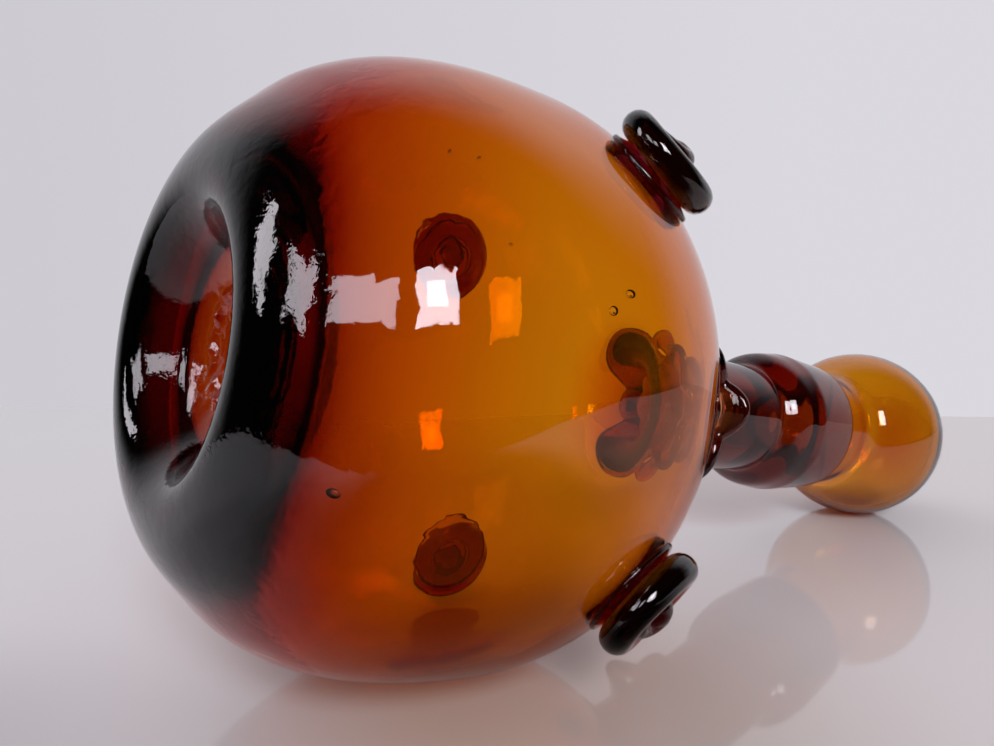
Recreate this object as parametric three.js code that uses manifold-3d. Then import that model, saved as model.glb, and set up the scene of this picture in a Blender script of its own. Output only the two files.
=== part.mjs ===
// A hand-blown amber glass decanter with a ball stopper.
// Millimetres, +Z up. The origin is the centre of the foot ring, on the surface that the decanter stands on.
import * as THREE from 'three';
import { mergeVertices } from 'three/addons/utils/BufferGeometryUtils.js';
import Module from 'manifold-3d';

const wasm = await Module();
wasm.setup();

// Body: the belly is the widest circle, with half of a superellipse below it and a quarter ellipse above it.
const BELLY_RADIUS = 67.5;
const BELLY_HEIGHT = 62;
const UNDER_POWER = 2.7;
const SHOULDER_RISE = 60;
const SHOULDER_BLEND_RADIUS = 29;

// Foot ring and punt: the flat annulus that the decanter stands on, and the hollow pushed up inside it.
const FOOT_OUTER_RADIUS = 30.8;
const FOOT_INNER_RADIUS = 28.1;
const PUNT_DEPTH = 14;
const SCAR_RADIUS = 12;
const SCAR_WIDTH = 4;
const SCAR_DROP = 0.9;

// Glass thickness: heavy in the base and the neck, thin in the belly and the shoulder.
const BELLY_WALL = 3.2;
const SHOULDER_WALL = 3.0;
const FLOOR_THICKNESS = 12.5;
const PUNT_THICKNESS = 9;
const INSIDE_POWER = 2.8;

// Neck: a plain tube that flares to the mouth's edge, then draws in a little to the rim.
const NECK_RADIUS = 16.5;
const NECK_ROOT_HEIGHT = 140;
const NECK_BORE_RADIUS = 9.3;
const FLARE_START_HEIGHT = 178.3;
const MOUTH_EDGE_RADIUS = 22.1;
const MOUTH_EDGE_HEIGHT = 192.1;
const MOUTH_EDGE_ROUND = 2.6;
const RIM_HEIGHT = 212;
const RIM_RADIUS = 20.7;
const RIM_BORE_RADIUS = 16.9;

// Socket: the tapered seat inside the mouth, and the peg that sits in it.
const SEAT_TAPER = THREE.MathUtils.degToRad(9.5);
const SEAT_DEPTH = 18;
const SEAT_CLEARANCE = 0.35;
const SEAT_END_GAP = 1.2;

// Stopper: a hollow ball that runs into the peg through a hollow throat.
const BALL_RADIUS = 28.8;
const BALL_LIFT = 35.8;
const BALL_WALL = 2.4;
const THROAT_ROUND = 8;
const PEG_LIFT = 12;
const PEG_WALL = 3.4;
const PEG_END_ROUND = 1.6;

// Collar: a trail wound round the root of the neck and pinched into lobes that lean up and down in turn.
const COLLAR_HEIGHT = 146;
const COLLAR_THICKNESS = 7.6;
const COLLAR_WIDTH = 5.2;
const COLLAR_LOBES = 8;
const COLLAR_TURN = THREE.MathUtils.degToRad(10);
const COLLAR_LOBE_REACH = 4.2;
const COLLAR_LEAN = 2.4;

// Prunts: each one is a flared pad with a fat coil on it. They were set by hand, so none is quite in line,
// and one of the coils came out smaller. The rise is above the belly; heights are above the body's glass.
const PRUNTS = [
  { azimuth: 143.5, rise: 19.3, coilRadius: 9.6 },
  { azimuth: 228.5, rise: 21, coilRadius: 9.6 },
  { azimuth: 319.8, rise: 26.6, coilRadius: 9.1 },
  { azimuth: 43.7, rise: 19.1, coilRadius: 9.6 },
];
const PAD_RADIUS = 11.9;
const PAD_EDGE = 0.8;
const PAD_EDGE_ROUND = 0.45;
const PAD_BEAD_INSET = 4.6;
const PAD_BEAD_ROUND = 0.35;
const PAD_SINK = 3;
const WAIST_HEIGHT = 2.4;
const COIL_THICKNESS = 6.4;
const COIL_LIFT = 0.3;
const COIL_STRETCH = 1.05;
const BUTTON_RADIUS = 4.1;
const BUTTON_RISE = 2.2;
const TAIL_RADIUS = 2.4;
const TAIL_TUCK = 0.5;

// The coil's ring lies a little above the pad's face, round a waist as wide as the ring's own hole.
const COIL_HEIGHT = PAD_EDGE + COIL_LIFT + COIL_THICKNESS / 2;
const BUTTON_TOP = COIL_HEIGHT + COIL_THICKNESS / 2 + BUTTON_RISE;

// Hot glass was laid on hot glass here; the solids keep this gap where one piece lies on another.
const FUSE_GAP = 0.3;

// Facets round the axis.
const BOTTLE_SIDES = 44;
const STOPPER_SIDES = 32;
const COLLAR_SIDES = 72;
const PAD_SIDES = 22;
const COIL_SIDES = 22;

const amber = new THREE.MeshStandardMaterial({ color: 0xb05c06, roughness: 0.04, metalness: 0 });
const paleAmber = new THREE.MeshStandardMaterial({ color: 0xb4740e, roughness: 0.04, metalness: 0 });
const darkAmber = new THREE.MeshStandardMaterial({ color: 0x3a0f0b, roughness: 0.05, metalness: 0 });

// Radius of a superellipse quarter at a distance from its widest circle.
function superRadius(radius, reach, power, distance) {
  const share = Math.min(Math.abs(distance) / reach, 1);
  return radius * (1 - share ** power) ** (1 / power);
}

// Reach of a superellipse quarter that has a given radius at a distance from its widest circle.
function superReach(radius, power, distance, radiusThere) {
  return distance / (1 - (radiusThere / radius) ** power) ** (1 / power);
}

// Points of a superellipse quarter, by equal angles, from one angle to another; 0 is on the widest circle.
function superArc(centreHeight, radius, reach, power, fromAngle, toAngle, steps) {
  const points = [];
  for (let i = 0; i <= steps; i += 1) {
    const angle = fromAngle + (toAngle - fromAngle) * (i / steps);
    const r = radius * Math.max(Math.cos(angle), 0) ** (2 / power);
    const z = centreHeight + reach * Math.sin(angle) ** (2 / power);
    points.push(new THREE.Vector2(r, z));
  }
  return points;
}

// Angle of superArc at which the radius has a given value.
function superAngle(radius, power, radiusThere) {
  return Math.acos((radiusThere / radius) ** (power / 2));
}

// Points of a smooth curve that leaves one point and reaches another along given directions.
function blend(from, fromDirection, to, toDirection, steps, tension = 0.5) {
  const pull = from.distanceTo(to) * tension;
  const near = from.clone().addScaledVector(fromDirection.clone().normalize(), pull);
  const far = to.clone().addScaledVector(toDirection.clone().normalize(), -pull);
  return new THREE.CubicBezierCurve(from, near, far, to).getPoints(steps);
}

// Points of a circular arc about a centre in the (radius, height) plane.
function roundArc(centre, radius, fromDegrees, toDegrees, steps) {
  const points = [];
  for (let i = 0; i <= steps; i += 1) {
    const angle = THREE.MathUtils.degToRad(fromDegrees + (toDegrees - fromDegrees) * (i / steps));
    const r = centre.x + radius * Math.cos(angle);
    const z = centre.y + radius * Math.sin(angle);
    points.push(new THREE.Vector2(r, z));
  }
  return points;
}

// Joins stretches of outline into one list and drops points that repeat.
function joinOutline(...stretches) {
  const outline = [];
  for (const point of stretches.flat()) {
    const last = outline[outline.length - 1];
    if (!last || last.distanceTo(point) > 0.02) outline.push(point);
  }
  return outline;
}

// Signed volume of a triangle mesh; positive where its faces point out.
function signedVolume(geometry) {
  const position = geometry.getAttribute('position');
  const index = geometry.getIndex();
  const a = new THREE.Vector3();
  const b = new THREE.Vector3();
  const c = new THREE.Vector3();
  let volume = 0;
  for (let i = 0; i < index.count; i += 3) {
    a.fromBufferAttribute(position, index.getX(i));
    b.fromBufferAttribute(position, index.getX(i + 1));
    c.fromBufferAttribute(position, index.getX(i + 2));
    volume += a.dot(b.cross(c)) / 6;
  }
  return volume;
}

// Welds a geometry to bare shared positions and turns its faces out.
function weld(geometry) {
  geometry.deleteAttribute('normal');
  geometry.deleteAttribute('uv');
  const welded = mergeVertices(geometry, 1e-4);
  const corners = Array.from(welded.getIndex().array);
  const kept = [];
  for (let i = 0; i < corners.length; i += 3) {
    const [a, b, c] = corners.slice(i, i + 3);
    if (a !== b && b !== c && c !== a) kept.push(a, b, c);
  }
  welded.setIndex(kept);
  if (signedVolume(welded) < 0) {
    for (let i = 0; i < kept.length; i += 3) {
      [kept[i + 1], kept[i + 2]] = [kept[i + 2], kept[i + 1]];
    }
    welded.setIndex(kept);
  }
  return welded;
}

// Revolves an outline of (radius, height) points round +Z.
function revolve(outline, sides) {
  const geometry = new THREE.LatheGeometry(outline, sides);
  geometry.rotateX(Math.PI / 2);
  return weld(geometry);
}

function toSolid(geometry) {
  const mesh = new wasm.Mesh({
    numProp: 3,
    vertProperties: new Float32Array(geometry.getAttribute('position').array),
    triVerts: new Uint32Array(geometry.getIndex().array),
  });
  return new wasm.Manifold(mesh);
}

function toGeometry(solid) {
  const mesh = solid.getMesh();
  const geometry = new THREE.BufferGeometry();
  geometry.setAttribute('position', new THREE.BufferAttribute(new Float32Array(mesh.vertProperties), 3));
  geometry.setIndex(Array.from(mesh.triVerts));
  return geometry;
}

function namedMesh(name, geometry, material) {
  geometry.computeVertexNormals();
  const mesh = new THREE.Mesh(geometry, material);
  mesh.name = name;
  return mesh;
}

const up = new THREE.Vector2(0, 1);
const down = new THREE.Vector2(0, -1);
const inward = new THREE.Vector2(-1, 0);

// Outer outline of the body from the foot ring up to the root of the neck, set out by a given distance.
function bodyOutline(offset) {
  const radius = BELLY_RADIUS + offset;
  const underReach = superReach(BELLY_RADIUS, UNDER_POWER, BELLY_HEIGHT, FOOT_OUTER_RADIUS) + offset;
  const footRadius = superRadius(radius, underReach, UNDER_POWER, BELLY_HEIGHT + offset);
  const footAngle = superAngle(radius, UNDER_POWER, footRadius);
  const under = superArc(0, radius, underReach, UNDER_POWER, footAngle, 0, 8);
  for (const point of under) point.y = BELLY_HEIGHT - point.y;
  const blendRadius = SHOULDER_BLEND_RADIUS + offset;
  const blendAngle = superAngle(radius, 2, blendRadius);
  const shoulderReach = SHOULDER_RISE + offset;
  const shoulder = superArc(BELLY_HEIGHT, radius, shoulderReach, 2, 0, blendAngle, 8);
  const slope = new THREE.Vector2(-radius * Math.sin(blendAngle), shoulderReach * Math.cos(blendAngle));
  const root = new THREE.Vector2(NECK_RADIUS + offset, NECK_ROOT_HEIGHT);
  const shoulderToNeck = blend(shoulder[shoulder.length - 1], slope, root, up, 5);
  return joinOutline(under, shoulder, shoulderToNeck);
}

// The tapered seat's radius at a height, on the glass of the mouth.
function seatRadius(height) {
  return RIM_BORE_RADIUS - (RIM_HEIGHT - height) * Math.tan(SEAT_TAPER);
}

// Bottle: from the crown of the punt over the foot, up the outside, over the rim and down the inside.
function bottleOutline() {
  const puntCrown = new THREE.Vector2(0, PUNT_DEPTH);
  const scarCrest = new THREE.Vector2(SCAR_RADIUS, PUNT_DEPTH - SCAR_DROP - SCAR_WIDTH / 4);
  const scarInside = new THREE.Vector2(SCAR_RADIUS - SCAR_WIDTH / 2, PUNT_DEPTH - SCAR_DROP / 4);
  const scarOutside = new THREE.Vector2(SCAR_RADIUS + SCAR_WIDTH / 2, PUNT_DEPTH - SCAR_DROP);
  const footEdge = new THREE.Vector2(FOOT_INNER_RADIUS, 0);
  const steepDown = new THREE.Vector2(0.55, -1);
  const puntWall = blend(scarOutside, new THREE.Vector2(1, -0.35), footEdge, steepDown, 4);
  const mouthEdge = new THREE.Vector2(MOUTH_EDGE_RADIUS - MOUTH_EDGE_ROUND, MOUTH_EDGE_HEIGHT);
  const flareStart = new THREE.Vector2(NECK_RADIUS, FLARE_START_HEIGHT);
  const edgeRound = roundArc(mouthEdge, MOUTH_EDGE_ROUND, -35, 4, 2);
  const flare = blend(flareStart, up, edgeRound[0], new THREE.Vector2(0.57, 0.82), 4);
  const rimRound = (RIM_RADIUS - RIM_BORE_RADIUS) / 2;
  const rimCentre = new THREE.Vector2(RIM_BORE_RADIUS + rimRound, RIM_HEIGHT - rimRound);
  const rim = roundArc(rimCentre, rimRound, 4, 180, 5);
  const seatFloor = RIM_HEIGHT - SEAT_DEPTH;
  const seatEnd = new THREE.Vector2(seatRadius(seatFloor), seatFloor);
  const boreTop = new THREE.Vector2(NECK_BORE_RADIUS, FLARE_START_HEIGHT);
  const funnel = blend(seatEnd, new THREE.Vector2(-Math.tan(SEAT_TAPER), -1), boreTop, down, 4);
  const insideRadius = BELLY_RADIUS - BELLY_WALL;
  const insideRise = SHOULDER_RISE - SHOULDER_WALL;
  const insideBlend = SHOULDER_BLEND_RADIUS;
  const insideBlendAngle = superAngle(insideRadius, 2, insideBlend);
  const insideShoulder = superArc(BELLY_HEIGHT, insideRadius, insideRise, 2, insideBlendAngle, 0, 8);
  const boreRoot = new THREE.Vector2(NECK_BORE_RADIUS, NECK_ROOT_HEIGHT);
  const insideSlope = new THREE.Vector2(
    insideRadius * Math.sin(insideBlendAngle),
    -insideRise * Math.cos(insideBlendAngle),
  );
  const insideNeck = blend(boreRoot, down, insideShoulder[0], insideSlope, 5);
  const floorReach = BELLY_HEIGHT - FLOOR_THICKNESS;
  const floorRadius = FOOT_OUTER_RADIUS + FLOOR_THICKNESS / 2;
  const floorAngle = superAngle(insideRadius, INSIDE_POWER, floorRadius);
  const insideUnder = superArc(0, insideRadius, floorReach, INSIDE_POWER, 0, floorAngle, 7);
  for (const point of insideUnder) point.y = BELLY_HEIGHT - point.y;
  const puntTop = new THREE.Vector2(0, PUNT_DEPTH + PUNT_THICKNESS);
  const floorEnd = insideUnder[insideUnder.length - 1];
  const insidePunt = blend(floorEnd, new THREE.Vector2(-1, -0.1), puntTop, inward, 6, 0.42);
  return joinOutline(
    [puntCrown, scarInside, scarCrest], puntWall,
    bodyOutline(0), [flareStart], flare, edgeRound, rim,
    [seatEnd], funnel, [boreRoot], insideNeck, insideShoulder, insideUnder, insidePunt,
  );
}

// Stopper: from the ball's pole down the outside to the peg's open end, and back up the inside.
function stopperOutline() {
  const ballCentre = new THREE.Vector2(0, RIM_HEIGHT + BALL_LIFT);
  const taper = THREE.MathUtils.radToDeg(SEAT_TAPER);
  const pegRadius = (height) => seatRadius(height) - SEAT_CLEARANCE / Math.cos(SEAT_TAPER);
  const pegTopHeight = RIM_HEIGHT + PEG_LIFT;
  const pegTop = new THREE.Vector2(pegRadius(pegTopHeight), pegTopHeight);
  const throat = new THREE.Vector2(
    pegTop.x + THROAT_ROUND * Math.cos(SEAT_TAPER),
    pegTop.y - THROAT_ROUND * Math.sin(SEAT_TAPER),
  );
  const throatLift = Math.sqrt((BALL_RADIUS + THROAT_ROUND) ** 2 - throat.x ** 2);
  throat.y = ballCentre.y - throatLift;
  const meetDegrees = THREE.MathUtils.radToDeg(Math.atan2(ballCentre.y - throat.y, -throat.x));
  const ball = roundArc(ballCentre, BALL_RADIUS, 90, meetDegrees - 180, 13);
  const throatRound = roundArc(throat, THROAT_ROUND, meetDegrees, 180 - taper, 3);
  const pegEnd = RIM_HEIGHT - SEAT_DEPTH + SEAT_END_GAP;
  const pegEndCentre = new THREE.Vector2(
    pegRadius(pegEnd + PEG_END_ROUND) - PEG_END_ROUND / Math.cos(SEAT_TAPER),
    pegEnd + PEG_END_ROUND,
  );
  const pegEndRound = roundArc(pegEndCentre, PEG_END_ROUND, -taper, -180 - taper, 4);
  const insideBall = BALL_RADIUS - BALL_WALL;
  const insideThroat = throatRound[throatRound.length - 1].x - PEG_WALL;
  const mouthAngle = THREE.MathUtils.radToDeg(Math.asin(insideThroat / insideBall));
  const insideStart = roundArc(ballCentre, insideBall, -90 + mouthAngle + 14, 90, 10);
  const insideThroatEnd = new THREE.Vector2(insideThroat, throatRound[throatRound.length - 1].y);
  const turnIn = new THREE.Vector2(-insideStart[0].y + ballCentre.y, insideStart[0].x);
  const insideFlare = blend(insideThroatEnd, up, insideStart[0], turnIn, 4);
  return joinOutline(ball, throatRound, pegEndRound, insideFlare, insideStart);
}

// Collar: a flat ring's outline is revolved, then each point is carried out and up by its lobe's own wave.
function collarGeometry() {
  const inner = NECK_RADIUS + FUSE_GAP;
  const half = COLLAR_THICKNESS / 2;
  const outline = [
    new THREE.Vector2(0, -half * 0.8),
    new THREE.Vector2(0, half * 0.8),
    new THREE.Vector2(0.2, half),
    new THREE.Vector2(0.6, half * 0.7),
    new THREE.Vector2(0.88, half * 0.62),
    new THREE.Vector2(1, 0),
    new THREE.Vector2(0.88, -half * 0.62),
    new THREE.Vector2(0.6, -half * 0.7),
    new THREE.Vector2(0.2, -half),
    new THREE.Vector2(0, -half * 0.8),
  ];
  const bandOutline = outline.map((p) => new THREE.Vector2(inner + p.x * COLLAR_WIDTH, p.y));
  const geometry = revolve(bandOutline, COLLAR_SIDES);
  const position = geometry.getAttribute('position');
  for (let i = 0; i < position.count; i += 1) {
    const angle = Math.atan2(position.getY(i), position.getX(i));
    const radius = Math.hypot(position.getX(i), position.getY(i));
    const reach = (radius - inner) / COLLAR_WIDTH;
    const wave = Math.cos(((angle - COLLAR_TURN) * COLLAR_LOBES) / 2);
    const lobe = Math.abs(wave) ** 0.8;
    const carried = inner + reach * (COLLAR_WIDTH + COLLAR_LOBE_REACH * lobe);
    const lean = COLLAR_LEAN * wave * reach;
    const spread = 1 - 0.1 * lobe * reach;
    position.setXYZ(
      i,
      carried * Math.cos(angle),
      carried * Math.sin(angle),
      COLLAR_HEIGHT + position.getZ(i) * spread + lean,
    );
  }
  return geometry;
}

// Turns a shape made about +Z so that it stands on the shoulder, square to the glass, at a prunt's place.
function standOnShoulder(geometry, prunt) {
  const radius = superRadius(BELLY_RADIUS, SHOULDER_RISE, 2, prunt.rise);
  const slope = Math.atan2(prunt.rise / SHOULDER_RISE ** 2, radius / BELLY_RADIUS ** 2);
  geometry.rotateY(Math.PI / 2 - slope);
  geometry.translate(radius, 0, BELLY_HEIGHT + prunt.rise);
  geometry.rotateZ(THREE.MathUtils.degToRad(prunt.azimuth));
  return geometry;
}

// Pad: a disc pressed on the glass, with a thin flared edge, a bead and a waist. Its back is cut to the body.
function padGeometry(prunt, body) {
  const sag = PAD_RADIUS ** 2 / (2 * BELLY_RADIUS);
  const waistRadius = (prunt.coilRadius - COIL_THICKNESS / 2) / COIL_STRETCH;
  const beadRadius = PAD_RADIUS - PAD_BEAD_INSET;
  const edgeHeight = PAD_EDGE - sag;
  const edgeRound = PAD_EDGE_ROUND;
  const bead = new THREE.Vector2(beadRadius - PAD_BEAD_ROUND, PAD_EDGE + PAD_BEAD_ROUND);
  const outline = joinOutline(
    [new THREE.Vector2(0, -PAD_SINK), new THREE.Vector2(PAD_RADIUS - edgeRound, -PAD_SINK)],
    [new THREE.Vector2(PAD_RADIUS, edgeHeight - edgeRound)],
    [new THREE.Vector2(PAD_RADIUS - edgeRound, edgeHeight)],
    [new THREE.Vector2(beadRadius + PAD_BEAD_ROUND, PAD_EDGE * 0.8)],
    roundArc(bead, PAD_BEAD_ROUND, -20, 80, 2),
    [new THREE.Vector2(waistRadius, PAD_EDGE + 2 * PAD_BEAD_ROUND)],
    [new THREE.Vector2(waistRadius, WAIST_HEIGHT), new THREE.Vector2(0, WAIST_HEIGHT)],
  );
  const pad = toSolid(standOnShoulder(revolve(outline, PAD_SIDES), prunt));
  return toGeometry(pad.subtract(body));
}

// Coil: a fat ring of glass, a web that closes it underneath, a centre button and the tail that joins them.
function coilGeometry(prunt) {
  const tube = COIL_THICKNESS / 2;
  const ringOutline = roundArc(new THREE.Vector2(prunt.coilRadius, COIL_HEIGHT), tube, 0, 360, 10);
  const ring = revolve(ringOutline, COIL_SIDES);
  const webBottom = WAIST_HEIGHT + FUSE_GAP;
  const dome = superArc(COIL_HEIGHT, BUTTON_RADIUS, BUTTON_TOP - COIL_HEIGHT, 2.4, 0, Math.PI / 2, 4);
  const buttonOutline = joinOutline(
    [new THREE.Vector2(0, webBottom), new THREE.Vector2(prunt.coilRadius, webBottom)],
    [new THREE.Vector2(prunt.coilRadius, COIL_HEIGHT), dome[0]],
    dome,
  );
  const button = revolve(buttonOutline, COIL_SIDES / 2);
  const tailStart = COIL_HEIGHT + tube - TAIL_RADIUS;
  const tailEnd = BUTTON_TOP - TAIL_RADIUS - TAIL_TUCK;
  const tailPath = new THREE.CatmullRomCurve3([
    new THREE.Vector3(0, -prunt.coilRadius, tailStart),
    new THREE.Vector3(prunt.coilRadius * 0.62, -prunt.coilRadius * 0.55, tailStart + TAIL_TUCK),
    new THREE.Vector3(prunt.coilRadius * 0.4, 0, tailEnd),
    new THREE.Vector3(0, 0, tailEnd),
  ]);
  const tailSection = new THREE.Shape();
  tailSection.absarc(0, 0, TAIL_RADIUS, 0, Math.PI * 2);
  const tailOptions = { extrudePath: tailPath, steps: 6, curveSegments: 4, bevelEnabled: false };
  const tail = weld(new THREE.ExtrudeGeometry(tailSection, tailOptions));
  const coil = toSolid(ring).add(toSolid(button)).add(toSolid(tail));
  const geometry = toGeometry(coil);
  geometry.scale(COIL_STRETCH, 1 / COIL_STRETCH, 1);
  return standOnShoulder(geometry, prunt);
}

const decanter = new THREE.Group();
decanter.add(namedMesh('bottle', revolve(bottleOutline(), BOTTLE_SIDES), amber));
decanter.add(namedMesh('stopper', revolve(stopperOutline(), STOPPER_SIDES), paleAmber));
decanter.add(namedMesh('collar', collarGeometry(), darkAmber));

// The space that the body fills, set out by the gap, which cuts the backs of the pads to its curve.
const bodyShell = bodyOutline(FUSE_GAP);
const shellTop = bodyShell[bodyShell.length - 1].y;
const shellBottom = bodyShell[0].y;
const shellOutline = joinOutline(
  [new THREE.Vector2(0, shellBottom)], bodyShell, [new THREE.Vector2(0, shellTop)],
);
const bodySpace = toSolid(revolve(shellOutline, BOTTLE_SIDES));
PRUNTS.forEach((prunt, i) => {
  decanter.add(namedMesh(`prunt_${i + 1}_pad`, padGeometry(prunt, bodySpace), darkAmber));
  decanter.add(namedMesh(`prunt_${i + 1}_coil`, coilGeometry(prunt), darkAmber));
});

export default decanter;
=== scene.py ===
import math

import bmesh
import bpy
from mathutils import Matrix, Vector, noise


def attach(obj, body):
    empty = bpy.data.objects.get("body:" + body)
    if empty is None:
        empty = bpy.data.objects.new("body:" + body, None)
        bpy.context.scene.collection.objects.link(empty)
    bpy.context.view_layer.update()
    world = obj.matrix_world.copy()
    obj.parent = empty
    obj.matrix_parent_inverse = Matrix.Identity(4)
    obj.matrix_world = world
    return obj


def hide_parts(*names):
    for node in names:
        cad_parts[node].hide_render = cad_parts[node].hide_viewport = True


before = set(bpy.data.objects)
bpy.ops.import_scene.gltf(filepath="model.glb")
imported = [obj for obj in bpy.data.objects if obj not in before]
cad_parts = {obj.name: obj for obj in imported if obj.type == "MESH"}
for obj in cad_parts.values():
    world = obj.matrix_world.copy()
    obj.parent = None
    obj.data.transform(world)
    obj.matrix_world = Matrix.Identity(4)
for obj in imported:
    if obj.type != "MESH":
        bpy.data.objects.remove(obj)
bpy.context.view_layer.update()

# A hand-blown amber glass decanter with a ball stopper.
# Sizes are in millimetres up to the point where a mesh is made. Meshes and materials are in metres.
MM = 0.001

# Sizes of the body.
BELLY_RADIUS = 67.5
BELLY_HEIGHT = 62.0
UNDER_POWER = 2.7
SHOULDER_RISE = 60.0
SHOULDER_BLEND_RADIUS = 29.0
FOOT_OUTER_RADIUS = 30.8
FOOT_INNER_RADIUS = 28.1
PUNT_DEPTH = 14.0
PUNT_CROWN = ((0, PUNT_DEPTH), (9.5, 13.7), (12, 12.3), (14, 13.0))
BELLY_WALL = 3.2
SHOULDER_WALL = 3.0
FLOOR_THICKNESS = 11.2
PUNT_THICKNESS = 9.5
INSIDE_POWER = 2.8

# The foot is melted where it is lower than one height and wider than one radius.
FOOT_MELT_ROUNDS = 200
FOOT_MELT_TOP = 16
FOOT_MELT_INNER_RADIUS = 20
FOOT_LIFT_FADE = (4, 12)

# Sizes of the neck and the mouth.
NECK_RADIUS = 16.5
NECK_ROOT_HEIGHT = 140.0
NECK_BORE_RADIUS = 9.3
FLARE_START_HEIGHT = 178.3
MOUTH_EDGE_RADIUS = 22.1
MOUTH_EDGE_HEIGHT = 192.1
MOUTH_EDGE_ROUND = 2.6
RIM_HEIGHT = 212.0
RIM_RADIUS = 20.7
RIM_BORE_RADIUS = 16.9
SEAT_TAPER = math.radians(9.5)
SEAT_DEPTH = 18.0
SEAT_CLEARANCE = 0.35
SEAT_END_GAP = 1.2

# Sizes of the stopper. The wall thickens towards the ball's pole, over an angle in radians. Inside, the
# ball ends some degrees above its throat, where the round of the throat begins.
BALL_RADIUS = 28.8
BALL_LIFT = 35.8
BALL_WALL = 2.4
BALL_TOP_WALL = 7.2
BALL_TOP_SPREAD = 0.68
THROAT_ROUND = 8.0
INNER_THROAT_ANGLE = 14
PEG_LIFT = 12.0
PEG_WALL = 3.4
PEG_END_ROUND = 1.6

# Sizes of the collar, which is filled by trails that reach less and less far into its lobes.
COLLAR_HEIGHT = 146.0
COLLAR_WAVES = 4
COLLAR_TURN = math.radians(10)
COLLAR_ROOT_RADIUS = 18.3
COLLAR_LOBE = 5.2
COLLAR_LEAN = 3.2
COLLAR_PINCH = 1.35
COLLAR_UNEVEN = 0.4
COLLAR_STEPS = 420
COLLAR_TRAILS = (
    {"reach": 1.0, "root": 2.5, "tip": 1.6},
    {"reach": 0.75, "root": 2.3, "tip": 1.8},
    {"reach": 0.5, "root": 2.2, "tip": 1.9},
    {"reach": 0.25, "root": 2.1, "tip": 1.9},
)

# Sizes of the prunts, each at an azimuth in degrees and a rise above the belly, with its coil's radius.
PRUNTS = (
    {"azimuth": 143.5, "rise": 19.3, "coil": 9.6},
    {"azimuth": 228.5, "rise": 21.0, "coil": 9.6},
    {"azimuth": 319.8, "rise": 26.6, "coil": 9.1},
    {"azimuth": 43.7, "rise": 19.1, "coil": 9.6},
)
PAD_RADIUS = 11.9
PAD_EDGE_ROUND = 0.3
PAD_EDGE_HEIGHT = 0.75
PAD_RISE = 1.1
PAD_RINGS = 40
PAD_SINK = 0.4
WAIST_HEIGHT = 2.4
COIL_THICKNESS = 6.9
COIL_STRETCH = 1.05
COIL_HEIGHT = 4.0
BUTTON_RADIUS = 4.0
BUTTON_TOP = 9.2
TAIL_RADIUS = 2.1
TAIL_TURN = 1.35 * math.pi
TAIL_CLIMB = 2.2
TAIL_STEPS = 30
COIL_STEPS = 120

# Unevenness of the blown surface: depth, length and seed of each wave, and the heights between which it
# comes and goes. The pontil scar is a rough ring on the crown of the punt.
BODY_HEAVE = ((0.16, 26, 1), (0.05, 11, 2))
SCAR_ROUGHNESS = ((0.7, 2.6, 3), (0.4, 1.2, 4))
BALL_HEAVE = ((0.1, 16, 5),)
HEAVE_START = (8, 20)
HEAVE_END = (112, 135)
BALL_HEAVE_START = (RIM_HEIGHT + 8, RIM_HEIGHT + 22)
SCAR_RADIUS = 11.5
SCAR_WIDTH = 3.2
SCAR_EDGE_RADIUS = 20
SCAR_TOP = 15

# Seeds in the wall: azimuth, height, depth in the glass, length, width, thickness, and turn in degrees.
SEEDS = (
    (215.5, 12.5, 2.2, 2.5, 1.7, 0.9, 12),
    (225.6, 6.9, 3.0, 1.6, 0.9, 0.7, 30),
    (179.1, 52.6, 1.6, 2.2, 1.7, 0.5, 25),
    (175.9, 57.0, 1.6, 2.4, 1.6, 0.5, 10),
    (154.6, 25.6, 1.5, 1.2, 0.5, 0.3, 60),
    (156.1, 30.1, 1.5, 1.2, 0.5, 0.3, 50),
    (171.3, 32.6, 1.5, 0.7, 0.5, 0.35, 0),
)

# Steps of the outlines and of their turn round the axis, and the distance at which two points count as one.
# The body's plain sweep, outside a radius and, inside the wall, below a height, has points further apart.
BLEND_STEPS = 24
FINE_STEP = 0.3
SAME_POINT = 0.1
SWEEP_RADIUS = 33
SWEEP_TOP = 170
BOTTLE_STEPS = 192
STOPPER_STEPS = 144
PAD_STEPS = 96
WEB_STEPS = 72

# The main view, in metres: the camera, and the surface that the decanter lies on there.
CAMERA_PLACE = Vector((-0.16841, -0.03645, -0.05523))
CAMERA_RIGHT = Vector((-0.62885, 0.00253, 0.77752))
CAMERA_TOP = Vector((-0.13721, 0.98394, -0.11418))
CAMERA_LOOK = Vector((0.76532, 0.17849, 0.6184))
CAMERA_LENS = 32.18
ACROSS = Vector((-0.62948, 0.00706, 0.77699))
AWAY = Vector((0.73473, 0.33081, 0.59223))
ABOVE = Vector((-0.25286, 0.94367, -0.21343))
UNDER_CAMERA = Vector((-0.142695, -0.132429, -0.03352))


# Outlines: points of (radius, height).
def eased_step(low, high, value):
    """0 up to low, 1 from high on, and a smooth rise between them."""
    share = min(max((value - low) / (high - low), 0.0), 1.0)
    return share * share * (3 - 2 * share)


def super_arc(centre, radius, reach, power, start, end, steps):
    """Points of a superellipse quarter, by equal angles; 0 is on the widest circle."""
    points = []
    for i in range(steps + 1):
        angle = start + (end - start) * i / steps
        r = radius * max(math.cos(angle), 0.0) ** (2 / power)
        points.append(Vector((r, centre + reach * max(math.sin(angle), 0.0) ** (2 / power))))
    return points


def super_angle(radius, power, there):
    """The angle at which a superellipse of a radius is as wide as there."""
    return math.acos((there / radius) ** (power / 2))


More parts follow.
